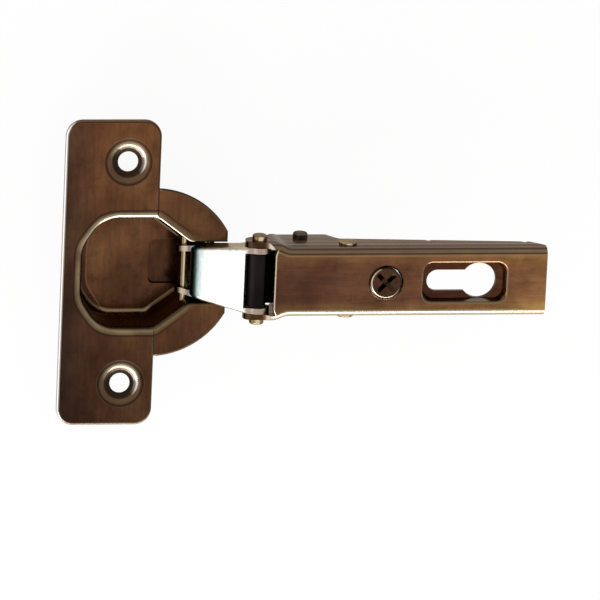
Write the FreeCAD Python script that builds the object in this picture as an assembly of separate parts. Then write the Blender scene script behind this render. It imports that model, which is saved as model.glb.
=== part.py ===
import FreeCAD, Part
import math
import os

# Concealed cup hinge with a one-piece slide-on arm, laid face up and opened to a right angle.
# X runs from the cup along the arm, Y runs along the pivot pins and Z points out of the door.
# The origin is midway between the two door screws, on the face that lies against the door.
# All lengths are in millimetres and all angles in degrees.

Vec = FreeCAD.Vector

# Drilling pattern in the door
screw_spacing = 48.0
screw_to_cup_axis = 6.0

# Sheet and fits
sheet = 1.2
running_gap = 0.05
edge_round = 0.35
past = 1.0
tiny = 0.001

# Screw flange
flange_left = -13.4
flange_right = 6.9
flange_half = 33.0
flange_corner = 3.6
flange_edge_round = 0.6
flange_hole_radius = 2.15
sink_step_height = 0.15
sink_seat_radius = 2.9
sink_seat_height = 0.3
sink_shoulder_radius = 4.0
sink_shoulder_height = 1.0
sink_top_radius = 5.2
sink_shoulder_round = 1.5
sink_seat_round = 0.6

# Lobes beside the mouth of the cup
lobe_radius = 18.2
lobe_thickness = 0.8
lobe_end = 15.9
lobe_round = 0.5

# Drawn cavity, its plan given from the cup axis at the inside of the wall
cavity_left = -15.1
cavity_left_half = 5.6
cavity_side_start = -10.9
cavity_half = 11.9
cavity_side_end = 0.8
channel_start = 7.9
channel_half = 6.65
cavity_right = 14.0
cavity_left_corner = 7.0
cavity_corner = 2.6
channel_corner = 1.0
cavity_narrowing = 0.8
cavity_depth = 10.5
floor_round = 1.0
rim_round = 1.15
lobe_rim_round = 0.55
rim_steps = 4
rim_start_inside = 0.03
well_start = 0.7
well_half = 5.0
well_drop = 0.8
well_corner = 1.2
sill_height = -7.6

# Pivots of the two links
cup_outer_pivot_x = 13.5
cup_outer_pivot_z = -3.8
cup_inner_pivot_x = 18.1
cup_inner_pivot_z = -4.1
knuckle_pivot_x = 27.6
knuckle_pivot_z = 6.1
arm_inner_pivot_x = 37.5
arm_inner_pivot_z = -0.1
spring_pin_x = 46.6

# Pins
cup_outer_pin_radius = 0.95
cup_inner_pin_radius = 0.9
knuckle_pin_radius = 1.2
arm_inner_pin_radius = 1.1
spring_pin_radius = 1.2
knuckle_head_radius = 1.55
knuckle_head_height = 1.3
arm_inner_head_radius = 1.55
arm_inner_head_height = 1.15
spring_head_radius = 1.9
spring_head_height = 0.75
rivet_head_round = 0.45
press_depth = 0.95
cup_inner_pin_half = 5.95
pin_end_round = 0.3

# Outer link, measured along and across the line from its cup pin to its knuckle pin
link_sheet = 1.2
link_half_at_cup = 5.3
link_half_at_knuckle = 7.1
link_taper_end = 24.4
link_web_height = 3.25
link_web_start = 5.0
link_web_end = 15.5
link_roll_angle = 62.0
link_cup_boss = 1.85
link_knuckle_boss = 2.6
link_waist = 0.45
link_waist_start = 2.2
link_waist_end = 12.6
link_bend_round = 0.95
link_fillet_find = 0.01

# Inner link, a strap with a rolled eye at each end
strap_thickness = 1.0
strap_half = 3.6
strap_hook_radius = 3.2
strap_hook_run = 1.2
strap_shoulder_radius = 1.2

# Slide-on arm
web_top = 10.2
web_front = 30.4
arm_rear = 88.9
arm_half = 7.45
arm_bend_round = 1.9
arm_inner_round = 0.6
ear_half = 8.4
ear_joggle_start = 31.1
ear_joggle_end = 33.3
ear_joggle_round = 4.0
nose_radius = 2.95
nose_rise = 2.1
nose_top_round = 1.6
nose_low_round = 2.6
web_relief = 0.8
web_relief_run = 2.6
web_relief_round = 1.5
web_front_round = 0.35
deep_wall_start = 33.6
deep_wall_end = 43.3
deep_wall_bottom = -2.4
shallow_wall_start = 45.5
shallow_wall_bottom = 1.3
shallow_wall_end = 86.2
rear_wall_bottom = 4.6
rear_corner_top = 7.6
wall_corner = 1.0
notch_radius = 0.55
notch_places = (64.5, 85.0)

# Keyhole in its pressed recess
recess_before_slot = 1.2
recess_behind_hole = 2.0
recess_half = 4.3
recess_drop = 2.0
recess_narrowing = 0.5
recess_corner = 2.2
recess_rim_round = 0.45
keyhole_slot_length = 11.2
keyhole_slot_half = 2.3
keyhole_round_x = 74.6
keyhole_round_radius = 3.8

# Leaf springs rolled round a sleeve on the knuckle pin
sleeve_wall = 0.2
leaf_count = 3
leaf_thickness = 0.35
leaf_gap = 0.02
leaf_half = 5.65
leaf_wrap_end = 30.0
leaf_wrap_step = 26.0
leaf_hook_end = 120.0
leaf_tail_end_step = 1.5
leaf_tail_overrun = 2.4

# Side adjusting screw
screw_x = 54.3
screw_radius = 3.3
screw_hole_radius = 3.45
screw_collar_height = 1.0
screw_collar_wall = 0.7
screw_head_rise = 0.25
screw_body_bottom = 6.6
screw_neck_radius = 1.9
screw_neck_length = 1.6
screw_foot_radius = 2.9
screw_foot_height = 1.1
screw_edge_round = 0.35
cross_arm_length = 2.65
cross_arm_half = 0.5
cross_depth = 1.9
cross_turn = 45.0

# Sizes worked out from the ones above
quarter_turn = 90.0
half_turn = 180.0
cup_outer_pivot = Vec(cup_outer_pivot_x, 0, cup_outer_pivot_z)
cup_inner_pivot = Vec(cup_inner_pivot_x, 0, cup_inner_pivot_z)
knuckle_pivot = Vec(knuckle_pivot_x, 0, knuckle_pivot_z)
arm_inner_pivot = Vec(arm_inner_pivot_x, 0, arm_inner_pivot_z)
cup_axis_x = screw_to_cup_axis
cavity_floor = sheet - cavity_depth
ear_inner_half = ear_half - sheet
web_under = web_top - sheet
keyhole_slot_left = keyhole_round_x - keyhole_slot_length
recess_left = keyhole_slot_left - recess_before_slot
recess_right = keyhole_round_x + keyhole_round_radius + recess_behind_hole
sleeve_outer = knuckle_pin_radius + running_gap + sleeve_wall
leaf_inner_radii = [
    sleeve_outer + running_gap + index * (leaf_thickness + leaf_gap)
    for index in range(leaf_count)
]
first_leaf_middle = leaf_inner_radii[0] + leaf_thickness / 2
spring_pin_wrap = spring_pin_radius + running_gap + leaf_thickness / 2
spring_pin_z = knuckle_pivot.z - first_leaf_middle + spring_pin_wrap


def turned(length, angle):
    """A vector of this length in the XZ plane, turned up from +X."""
    return Vec(length * math.cos(math.radians(angle)), 0, length * math.sin(math.radians(angle)))


def rounded_wire(points, radii):
    """A closed flat wire through the points, each corner replaced by a tangent arc."""
    count = len(points)
    corners = []
    for index in range(count):
        here = points[index]
        back = (points[index - 1] - here).normalize()
        ahead = (points[(index + 1) % count] - here).normalize()
        half_angle = back.getAngle(ahead) / 2
        reach = radii[index] / math.tan(half_angle)
        middle = (back + ahead).normalize()
        bulge = radii[index] / math.sin(half_angle) - radii[index]
        corners.append((here + back * reach, here + middle * bulge, here + ahead * reach))
    edges = []
    for index in range(count):
        start, top, end = corners[index]
        if radii[index] > 0:
            edges.append(Part.Arc(start, top, end).toShape())
        next_start = corners[(index + 1) % count][0]
        if (next_start - end).Length > tiny:
            edges.append(Part.makeLine(end, next_start))
    return Part.Wire(edges)


def inset(points, distance):
    """The polygon with every side moved inward, for points listed counterclockwise."""
    count = len(points)
    moved = []
    for index in range(count):
        here = points[index]
        along_in = (here - points[index - 1]).normalize()
        along_out = (points[(index + 1) % count] - here).normalize()
        inward_in = Vec(-along_in.y, along_in.x, 0)
        inward_out = Vec(-along_out.y, along_out.x, 0)
        share = distance / (1 + inward_in.dot(inward_out))
        moved.append(here + (inward_in + inward_out) * share)
    return moved


def at_height(points, height):
    """The same plan points at another height."""
    return [Vec(point.x, point.y, height) for point in points]


def drafted(points, radii, top, bottom, draft):
    """A solid between an outline at the top and the same outline drawn in at the bottom."""
    upper = rounded_wire(at_height(points, top), radii)
    lower = rounded_wire(at_height(inset(points, draft), bottom), radii)
    return Part.makeLoft([upper, lower], True, True)


def mirrored_outline(half_points):
    """A plan outline from its half on the +Y side, listed from right to left."""
    lower = [Vec(point.x, -point.y, 0) for point in reversed(half_points)]
    return half_points + lower


def plan_prism(points, radii, bottom, top):
    """A straight prism standing on a plan outline."""
    wire = rounded_wire(at_height(points, bottom), radii)
    return Part.Face(wire).extrude(Vec(0, 0, top - bottom))


def side_prism(points, radii, half_width):
    """A prism of a side outline in the XZ plane, spread evenly to both sides."""
    wire = rounded_wire([Vec(point.x, -half_width, point.z) for point in points], radii)
    return Part.Face(wire).extrude(Vec(0, 2 * half_width, 0))


def cross_cylinder(centre, radius, half_length):
    """A cylinder along Y about a pivot."""
    base = Vec(centre.x, -half_length, centre.z)
    return Part.makeCylinder(radius, 2 * half_length, base, Vec(0, 1, 0))


def edges_where(shape, test):
    """The edges of a shape that pass a test."""
    return [edge for edge in shape.Edges if test(edge)]


def flange_plate():
    """The flat screw flange with rounded corners, soft upper edges and a rounded rim."""
    points = [
        Vec(flange_right, flange_half, 0),
        Vec(flange_left, flange_half, 0),
        Vec(flange_left, -flange_half, 0),
        Vec(flange_right, -flange_half, 0),
    ]
    plate = plan_prism(points, [flange_corner] * len(points), 0, sheet)
    edge = edges_where(plate, lambda edge: edge.BoundBox.ZMin > sheet - tiny)
    plate = plate.makeFillet(flange_edge_round, edge)
    for side in (-1, 1):
        plate = plate.cut(countersunk_hole(side))
    shoulder = edges_where(plate, lambda edge: is_sink_edge(edge, sink_shoulder_radius))
    plate = plate.makeFillet(sink_shoulder_round, shoulder)
    seat = edges_where(plate, lambda edge: is_sink_edge(edge, sink_seat_radius))
    plate = plate.makeFillet(sink_seat_round, seat)
    return plate.cut([cup_hollow(), cup_rim(sheet, rim_round)])


def is_sink_edge(edge, radius):
    """True for a full circle of this radius in a dished screw hole."""
    return abs(edge.BoundBox.XLength - 2 * radius) < tiny and edge.BoundBox.ZLength < tiny


def rim_flare(points, radii_at, top, radius, wall_top, slope):
    """Cutter of the rounded rim where a sheet of this top height turns down into a pressed wall."""
    sections = []
    for step in range(rim_steps + 1):
        angle = math.radians(quarter_turn * step / rim_steps)
        height = top - radius + radius * math.sin(angle)
        outset = radius * (1 - math.cos(angle)) - slope * (wall_top - height) - rim_start_inside
        outline = at_height(inset(points, -outset), height)
        sections.append(rounded_wire(outline, radii_at(outset)))
    return Part.makeLoft(sections, True, True)


def cup_rim(top, radius):
    """Cutter of the rounded rim of the cavity, open at the mouth."""
    points = cavity_points(lobe_end + past)
    return rim_flare(points, cavity_radii, top, radius, sheet, cavity_narrowing / cavity_depth)


def lobe_disc():
    """The thinner round lip beside the mouth, cut straight at its ends."""
    disc = Part.makeCylinder(lobe_radius, lobe_thickness, Vec(cup_axis_x, 0, 0))
    kept = Part.makeBox(
        lobe_end + cup_axis_x - flange_right + past,
        2 * lobe_radius,
        lobe_thickness,
        Vec(flange_right - past, -lobe_radius, 0),
    )
    disc = disc.common(kept)
    edge = edges_where(disc, is_lobe_edge)
    disc = disc.makeFillet(lobe_round, edge)
    return disc.cut([cup_hollow(), mouth_cutter(), cup_rim(lobe_thickness, lobe_rim_round)])


def is_lobe_edge(edge):
    """True for the upper outer edge of the lip, away from the flange."""
    box = edge.BoundBox
    return box.ZMin > lobe_thickness - tiny and box.XMax > flange_right


def cavity_points(right_end):
    """Plan of the cavity at the inside of its wall, open or closed at its right end."""
    half = [
        Vec(right_end, channel_half, 0),
        Vec(channel_start, channel_half, 0),
        Vec(cavity_side_end, cavity_half, 0),
        Vec(cavity_side_start, cavity_half, 0),
        Vec(cavity_left, cavity_left_half, 0),
    ]
    return [point + Vec(cup_axis_x, 0, 0) for point in mirrored_outline(half)]


def cavity_radii(extra):
    """Corner radii of the cavity, larger by the wall on its outside."""
    half = [
        channel_corner + extra,
        cavity_corner - extra,
        cavity_corner + extra,
        cavity_left_corner + extra,
        cavity_left_corner + extra,
    ]
    return half + half[::-1]


def well_points():
    """Plan of the deeper well under the links."""
    half = [
        Vec(cavity_right - cavity_narrowing - floor_round, well_half, 0),
        Vec(well_start, well_half, 0),
    ]
    return [point + Vec(cup_axis_x, 0, 0) for point in mirrored_outline(half)]


def cup_body():
    """The outside of the drawn cavity with the well below it."""
    outside = inset(cavity_points(cavity_right), -sheet)
    top = lobe_thickness - lobe_rim_round
    body = drafted(outside, cavity_radii(sheet), top, cavity_floor - sheet, cavity_narrowing)
    bottom = edges_where(body, lambda edge: edge.BoundBox.ZMax < cavity_floor - sheet + tiny)
    body = body.makeFillet(floor_round + sheet / 2, bottom)
    outer_well = inset(well_points(), -sheet / 2)
    radii = [well_corner + sheet / 2] * len(outer_well)
    well_bottom = cavity_floor - sheet - well_drop
    return body.fuse(drafted(outer_well, radii, cavity_floor, well_bottom, well_drop / 2))


def cup_hollow():
    """The inside of the drawn cavity with the well in its floor."""
    inside = cavity_points(cavity_right)
    hollow = drafted(inside, cavity_radii(0), sheet, cavity_floor, cavity_narrowing)
    bottom = edges_where(hollow, lambda edge: edge.BoundBox.ZMax < cavity_floor + tiny)
    hollow = hollow.makeFillet(floor_round, bottom)
    radii = [well_corner] * len(well_points())
    well = drafted(
        well_points(), radii, cavity_floor + well_drop, cavity_floor - well_drop, well_drop / 2
    )
    return hollow.fuse(well)


def countersunk_hole(side):
    """Cutter of one dished door screw hole."""
    profile = [
        Vec(0, 0, -past),
        Vec(flange_hole_radius, 0, -past),
        Vec(flange_hole_radius, 0, sink_step_height),
        Vec(sink_seat_radius, 0, sink_seat_height),
        Vec(sink_shoulder_radius, 0, sink_shoulder_height),
        Vec(sink_top_radius, 0, sheet),
        Vec(sink_top_radius, 0, sheet + past),
        Vec(0, 0, sheet + past),
    ]
    wire = Part.makePolygon(profile + [profile[0]])
    cutter = Part.Face(wire).revolve(Vec(0, 0, 0), Vec(0, 0, 1), 2 * half_turn)
    cutter.translate(Vec(0, side * screw_spacing / 2, 0))
    return cutter


def mouth_cutter():
    """The opening that lets the links out over the edge of the bore."""
    start = cup_axis_x + cavity_right - cavity_narrowing - past
    length = lobe_radius
    return Part.makeBox(
        length,
        2 * channel_half,
        sheet - sill_height + past,
        Vec(start, -channel_half, sill_height),
    )


def hinge_cup():
    """The drawn cup: flange, lobes, cavity, screw holes and the hole of the fixed cup pin."""
    shell = cup_body().cut([cup_hollow(), mouth_cutter()])
    cup = flange_plate().fuse([lobe_disc(), shell])
    cup = cup.cut(cross_cylinder(cup_outer_pivot, cup_outer_pin_radius, channel_half + press_depth))
    return cup.removeSplitter()


def rivet(centre, radius, wall_outside, head_radius, head_height):
    """A pin with a rounded flat head closed against each outer wall."""
    parts = [cross_cylinder(centre, radius, wall_outside)]
    for side in (-1, 1):
        base = Vec(centre.x, side * wall_outside, centre.z)
        head = Part.makeCylinder(head_radius, head_height, base, Vec(0, side, 0))
        crown_y = side * (wall_outside + head_height)
        crown = edges_where(
            head,
            lambda edge: abs(edge.BoundBox.YMin - crown_y) < tiny and edge.BoundBox.YLength < tiny,
        )
        parts.append(head.makeFillet(rivet_head_round, crown))
    return parts[0].fuse(parts[1:]).removeSplitter()


def plain_pin(centre, radius, half_length):
    """A straight pin with rounded ends."""
    pin = cross_cylinder(centre, radius, half_length)
    ends = edges_where(pin, lambda edge: edge.BoundBox.YLength < tiny)
    return pin.makeFillet(pin_end_round, ends)


def link_frame():
    """Unit vectors along and across the line from the cup pin to the knuckle pin."""
    along = (knuckle_pivot - cup_outer_pivot).normalize()
    across = Vec(-along.z, 0, along.x)
    return along, across


def link_point(distance, height):
    """A point of the side view, from the cup pin of the outer link."""
    along, across = link_frame()
    return cup_outer_pivot + along * distance + across * height


def ring_sector(centre, inner, outer, start, end, half_width):
    """A curved plate: part of a tube along Y between two angles turned up from +X."""
    middle = (start + end) / 2
    outer_arc = Part.Arc(
        centre + turned(outer, start), centre + turned(outer, middle), centre + turned(outer, end)
    ).toShape()
    inner_arc = Part.Arc(
        centre + turned(inner, end), centre + turned(inner, middle), centre + turned(inner, start)
    ).toShape()
    first = Part.makeLine(centre + turned(outer, end), centre + turned(inner, end))
    last = Part.makeLine(centre + turned(inner, start), centre + turned(outer, start))
    face = Part.Face(Part.Wire([outer_arc, first, inner_arc, last]))
    face.translate(Vec(0, -half_width, 0))
    return face.extrude(Vec(0, 2 * half_width, 0))


def link_plan(half_cup, half_knuckle):
    """Plan outline of the outer link, narrow at the cup and wide at the knuckle."""
    slope = (half_knuckle - half_cup) / (link_taper_end - cup_outer_pivot.x)
    overhang = link_cup_boss + past
    half = [
        Vec(knuckle_pivot.x + link_knuckle_boss + past, half_knuckle, 0),
        Vec(link_taper_end, half_knuckle, 0),
        Vec(cup_outer_pivot.x - overhang, half_cup - slope * overhang, 0),
    ]
    return mirrored_outline(half)


def link_web_slice(start_height, end_height, half_width):
    """The web between two heights: a flat stretch and its roll towards the cup pin."""
    along, _ = link_frame()
    upright = math.degrees(math.atan2(along.z, along.x)) + quarter_turn
    roll = ring_sector(
        link_point(link_web_start, 0),
        start_height,
        end_height,
        upright,
        upright + link_roll_angle,
        half_width,
    )
    corners = [
        link_point(link_web_start, start_height),
        link_point(link_web_end, start_height),
        link_point(link_web_end, end_height),
        link_point(link_web_start, end_height),
    ]
    return roll.fuse(side_prism(corners, [0] * len(corners), half_width))


def link_ears(half_width):
    """The side plates as a block: two bosses joined by a waist that clears the other cup pin."""
    waist = [
        link_point(0, -link_waist),
        link_point(link_waist_end, -link_waist),
        link_point(link_waist_end + link_waist_start, -link_knuckle_boss),
        link_point((knuckle_pivot - cup_outer_pivot).Length, -link_knuckle_boss),
        link_point((knuckle_pivot - cup_outer_pivot).Length, link_knuckle_boss),
        link_point(link_web_end, link_web_height),
        link_point(link_web_start, link_web_height),
        link_point(link_web_start - link_waist_start, link_cup_boss),
        link_point(0, link_cup_boss),
    ]
    block = side_prism(waist, [0] * len(waist), half_width)
    bosses = [
        cross_cylinder(cup_outer_pivot, link_cup_boss, half_width),
        cross_cylinder(knuckle_pivot, link_knuckle_boss, half_width),
    ]
    return block.fuse(bosses)


def outer_link():
    """The bright folded link: a web between two ears, one pin hole at each end."""
    top = web_top + past
    bottom = -2 * link_web_height + cup_outer_pivot.z
    outer_points = link_plan(link_half_at_cup, link_half_at_knuckle)
    inner_points = link_plan(link_half_at_cup - link_sheet, link_half_at_knuckle - link_sheet)
    square = [0] * len(outer_points)
    wide = ear_half + past
    form = link_ears(wide).fuse(link_web_slice(past, link_web_height, wide))
    form = form.common(plan_prism(outer_points, square, bottom, top)).removeSplitter()
    bends = edges_where(form, is_link_bend)
    form = form.makeFillet(link_bend_round, bends)
    hollow = side_prism_below_link_web(wide)
    hollow = hollow.common(plan_prism(inner_points, square, bottom, top))
    link = form.cut(hollow)
    link = link.cut(cross_cylinder(cup_outer_pivot, cup_outer_pin_radius + running_gap, wide))
    link = link.cut(cross_cylinder(knuckle_pivot, knuckle_pin_radius + running_gap, wide))
    return link.removeSplitter()


def is_link_bend(edge):
    """True for the outer edges between the web of the outer link and its ears."""
    if edge.BoundBox.YLength > link_half_at_cup / 2:
        return False
    along, across = link_frame()
    middle = edge.valueAt((edge.FirstParameter + edge.LastParameter) / 2) - cup_outer_pivot
    reach = along.dot(middle) - link_web_start
    height = across.dot(middle)
    if reach < 0:
        height = math.hypot(reach, height)
    return abs(height - link_web_height) < link_fillet_find


def side_prism_below_link_web(half_width):
    """Everything between the ears that is not the web of the outer link."""
    below = link_web_height - link_sheet
    reach = (knuckle_pivot - cup_outer_pivot).Length + link_knuckle_boss + past
    depth = -2 * link_web_height
    corners = [
        link_point(-link_cup_boss - past, depth),
        link_point(reach, depth),
        link_point(reach, link_web_height + past),
        link_point(link_web_end, link_web_height + past),
        link_point(link_web_end, below),
        link_point(link_web_start, below),
        link_point(link_web_start, 0),
        link_point(-link_cup_boss - past, 0),
    ]
    block = side_prism(corners, [0] * len(corners), half_width)
    along, _ = link_frame()
    upright = math.degrees(math.atan2(along.z, along.x)) + quarter_turn
    roll_hollow = cross_cylinder(link_point(link_web_start, 0), below, half_width)
    far = 2 * link_web_height + link_web_start
    roll_end = upright + link_roll_angle
    above_roll = ring_sector(
        link_point(link_web_start, 0), link_web_height, far, upright, roll_end, half_width
    )
    past_roll = ring_sector(
        link_point(link_web_start, 0), below / 2, far, roll_end, upright + quarter_turn, half_width
    )
    return block.fuse([roll_hollow, above_roll, past_roll])


def inner_link():
    """The hidden link: a strap hooked round the outer cup pin, with an eye rolled at each end."""
    half = strap_thickness / 2
    cup_inner = cup_inner_pin_radius + running_gap
    arm_inner = arm_inner_pin_radius + running_gap
    cup_middle = cup_inner + half
    arm_middle = arm_inner + half
    cup_low = cup_inner_pivot.z - cup_middle
    hook_centre = Vec(cup_inner_pivot.x + strap_hook_run, 0, cup_low + strap_hook_radius)
    top = arm_inner_pivot.z + arm_middle
    shoulder_x = hook_centre.x + strap_hook_radius + strap_shoulder_radius
    shoulder_centre = Vec(shoulder_x, 0, top - strap_shoulder_radius)
    riser_x = hook_centre.x + strap_hook_radius
    pieces = [
        cross_cylinder(cup_inner_pivot, cup_inner + strap_thickness, strap_half),
        cross_cylinder(arm_inner_pivot, arm_inner + strap_thickness, strap_half),
        ring_sector(
            hook_centre,
            strap_hook_radius - half,
            strap_hook_radius + half,
            -quarter_turn,
            0,
            strap_half,
        ),
        ring_sector(
            shoulder_centre,
            strap_shoulder_radius - half,
            strap_shoulder_radius + half,
            quarter_turn,
            half_turn,
            strap_half,
        ),
        Part.makeBox(
            strap_hook_run,
            2 * strap_half,
            strap_thickness,
            Vec(cup_inner_pivot.x, -strap_half, cup_low - half),
        ),
        Part.makeBox(
            strap_thickness,
            2 * strap_half,
            shoulder_centre.z - hook_centre.z,
            Vec(riser_x - half, -strap_half, hook_centre.z),
        ),
        Part.makeBox(
            arm_inner_pivot.x - shoulder_x,
            2 * strap_half,
            strap_thickness,
            Vec(shoulder_x, -strap_half, top - half),
        ),
    ]
    link = pieces[0].fuse(pieces[1:])
    link = link.cut(cross_cylinder(cup_inner_pivot, cup_inner, strap_half))
    link = link.cut(cross_cylinder(arm_inner_pivot, arm_inner, strap_half))
    return link.removeSplitter()


def arm_plan(half, ear):
    """Plan outline of the arm, its ears set outward at the front."""
    outline = [
        Vec(arm_rear, half, 0),
        Vec(ear_joggle_end, half, 0),
        Vec(ear_joggle_start, ear, 0),
        Vec(knuckle_pivot.x - nose_radius - past, ear, 0),
    ]
    return mirrored_outline(outline)


def arm_plan_radii(change):
    """Corner radii of that outline, changed by the sheet on its inside."""
    half = [0, ear_joggle_round + change, ear_joggle_round - change, 0]
    return half + half[::-1]


def arm_side(half_width):
    """Side outline of the arm as a block: ears, deep front walls and shallow rear walls."""
    nose_left = knuckle_pivot.x - nose_radius
    nose_top = knuckle_pivot.z + nose_rise
    outline = [
        Vec(web_front, 0, web_top),
        Vec(knuckle_pivot.x + nose_rise / 2, 0, nose_top),
        Vec(nose_left, 0, nose_top),
        Vec(nose_left, 0, knuckle_pivot.z - nose_radius),
        Vec(knuckle_pivot.x + nose_rise / 2, 0, knuckle_pivot.z - nose_radius),
        Vec(deep_wall_start, 0, deep_wall_bottom),
        Vec(deep_wall_end, 0, deep_wall_bottom),
        Vec(shallow_wall_start, 0, shallow_wall_bottom),
        Vec(shallow_wall_end, 0, rear_wall_bottom),
        Vec(arm_rear, 0, rear_corner_top),
        Vec(arm_rear, 0, web_top),
    ]
    radii = [0, wall_corner, nose_top_round, nose_low_round] + [wall_corner] * 6 + [0]
    return side_prism(outline, radii, half_width)


def recess_points(extra):
    """Plan of the pressed recess round the keyhole."""
    half = [
        Vec(recess_right + extra, recess_half + extra, 0),
        Vec(recess_left - extra, recess_half + extra, 0),
    ]
    return mirrored_outline(half)


def keyhole_cutter():
    """A narrow slot that opens into a round hole at the rear."""
    bottom = web_under - recess_drop - past
    height = web_top - bottom + past
    slot_end = Part.makeCylinder(
        keyhole_slot_half, height, Vec(keyhole_slot_left + keyhole_slot_half, 0, bottom)
    )
    slot = Part.makeBox(
        keyhole_round_x - keyhole_slot_left - keyhole_slot_half,
        2 * keyhole_slot_half,
        height,
        Vec(keyhole_slot_left + keyhole_slot_half, -keyhole_slot_half, bottom),
    )
    round_hole = Part.makeCylinder(keyhole_round_radius, height, Vec(keyhole_round_x, 0, bottom))
    return round_hole.fuse([slot, slot_end])


def hinge_arm():
    """The folded arm: web, side walls, ears, keyhole recess and the collar of the side screw."""
    wide = ear_half + past
    top = web_top + past
    low = deep_wall_bottom - past
    form = plan_prism(arm_plan(arm_half, ear_half), arm_plan_radii(0), low, web_top)
    form = form.makeFillet(arm_bend_round, edges_where(form, lambda edge: is_bend(edge, web_top)))
    form = form.common(arm_side(wide)).removeSplitter()
    inner_points = arm_plan(arm_half - sheet, ear_half - sheet)
    inner_points[0].x = arm_rear + past
    inner_points[-1].x = arm_rear + past
    hollow = plan_prism(inner_points, arm_plan_radii(sheet), low, web_under)
    inner_bends = edges_where(hollow, lambda edge: is_bend(edge, web_under))
    hollow = hollow.makeFillet(arm_inner_round, inner_bends)
    between_ears = plan_prism(inner_points, arm_plan_radii(sheet), low, top)
    front = web_front_cutter(low, top).common(between_ears)
    arm = form.cut(hollow.fuse(front))
    arm = arm.makeFillet(web_front_round, edges_where(arm, is_web_front))
    arm = arm.fuse(recess_shell())
    arm = arm.cut([recess_hollow(), recess_rim()])
    arm = arm.cut(keyhole_cutter())
    arm = arm.fuse(screw_collar())
    arm = arm.cut(screw_hole())
    for centre, radius in (
        (knuckle_pivot, knuckle_pin_radius),
        (arm_inner_pivot, arm_inner_pin_radius),
        (Vec(spring_pin_x, 0, spring_pin_z), spring_pin_radius),
    ):
        arm = arm.cut(cross_cylinder(centre, radius, wide))
    for place in notch_places:
        share = (place - shallow_wall_start) / (shallow_wall_end - shallow_wall_start)
        edge_z = shallow_wall_bottom + share * (rear_wall_bottom - shallow_wall_bottom)
        arm = arm.cut(cross_cylinder(Vec(place, 0, edge_z), notch_radius, wide))
    return arm.removeSplitter()


def is_bend(edge, height):
    """True for the upper edges along the arm, between its web and its walls."""
    box = edge.BoundBox
    return box.ZMin > height - tiny and box.YLength < arm_half - sheet


def is_web_front(edge):
    """True for the straight front edge on the upper face of the web."""
    box = edge.BoundBox
    return box.ZMin > web_top - tiny and box.XMax < web_front + tiny


def web_front_cutter(bottom, top):
    """The gap between the ears, its corners run back where the walls are folded down."""
    left = knuckle_pivot.x - nose_radius - past
    half = [
        Vec(web_front + web_relief, ear_half, 0),
        Vec(left, ear_half, 0),
    ]
    outline = mirrored_outline(half) + [
        Vec(web_front, web_relief_run - ear_half, 0),
        Vec(web_front, ear_half - web_relief_run, 0),
    ]
    radii = [0, 0, 0, 0, web_relief_round, web_relief_round]
    return plan_prism(outline, radii, bottom, top)


def recess_shell():
    """The underside of the pressed recess."""
    corners = recess_points(sheet / 2)
    radii = [recess_corner + sheet / 2] * len(corners)
    return drafted(corners, radii, web_under + sheet / 2, web_under - recess_drop, recess_narrowing)


def recess_hollow():
    """The hollow of the pressed recess."""
    corners = recess_points(0)
    radii = [recess_corner] * len(corners)
    return drafted(corners, radii, web_top, web_top - recess_drop, recess_narrowing)


def recess_rim():
    """Cutter of the rounded rim of the recess."""
    corners = recess_points(0)
    return rim_flare(
        corners,
        lambda outset: [recess_corner + outset] * len(corners),
        web_top,
        recess_rim_round,
        web_top,
        recess_narrowing / recess_drop,
    )


def screw_collar():
    """The drawn collar under the web that holds the thread."""
    height = screw_collar_height + sheet / 2
    base = Vec(screw_x, 0, web_under - screw_collar_height)
    return Part.makeCylinder(screw_hole_radius + screw_collar_wall, height, base)


def screw_hole():
    """The hole of the side screw with a small chamfer at the top."""
    height = sheet + screw_collar_height + 2 * past
    hole = Part.makeCylinder(
        screw_hole_radius, height, Vec(screw_x, 0, web_under - screw_collar_height - past)
    )
    lead = Part.makeCone(
        screw_hole_radius, screw_hole_radius + edge_round, edge_round,
        Vec(screw_x, 0, web_top - edge_round),
    )
    return hole.fuse(lead)


def side_adjust_screw():
    """The side screw: threaded body, neck and foot, with a cross recess in its top."""
    head_top = web_top + screw_head_rise
    neck_bottom = screw_body_bottom - screw_neck_length
    foot_bottom = neck_bottom - screw_foot_height
    profile = [
        Vec(0, 0, foot_bottom),
        Vec(screw_foot_radius, 0, foot_bottom),
        Vec(screw_foot_radius, 0, neck_bottom),
        Vec(screw_neck_radius, 0, neck_bottom),
        Vec(screw_neck_radius, 0, screw_body_bottom),
        Vec(screw_radius, 0, screw_body_bottom),
        Vec(screw_radius, 0, head_top),
        Vec(0, 0, head_top),
    ]
    wire = Part.makePolygon(profile + [profile[0]])
    body = Part.Face(wire).revolve(Vec(0, 0, 0), Vec(0, 0, 1), 2 * half_turn)
    rounds = edges_where(
        body, lambda edge: edge.BoundBox.ZLength < tiny and edge.Length > math.pi * screw_foot_radius
    )
    body = body.makeFillet(screw_edge_round, rounds)
    cross_floor = head_top - cross_depth
    for turn in range(4):
        arm = [
            Vec(0, -cross_arm_half, head_top + past),
            Vec(cross_arm_length, -cross_arm_half, head_top + past),
            Vec(cross_arm_length, -cross_arm_half, head_top),
            Vec(cross_arm_half, -cross_arm_half, cross_floor),
            Vec(0, -cross_arm_half, cross_floor),
        ]
        wing = Part.Face(Part.makePolygon(arm + [arm[0]])).extrude(Vec(0, 2 * cross_arm_half, 0))
        wing.rotate(Vec(0, 0, 0), Vec(0, 0, 1), cross_turn + quarter_turn * turn)
        body = body.cut(wing)
    body.translate(Vec(screw_x, 0, 0))
    return body.removeSplitter()


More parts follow.
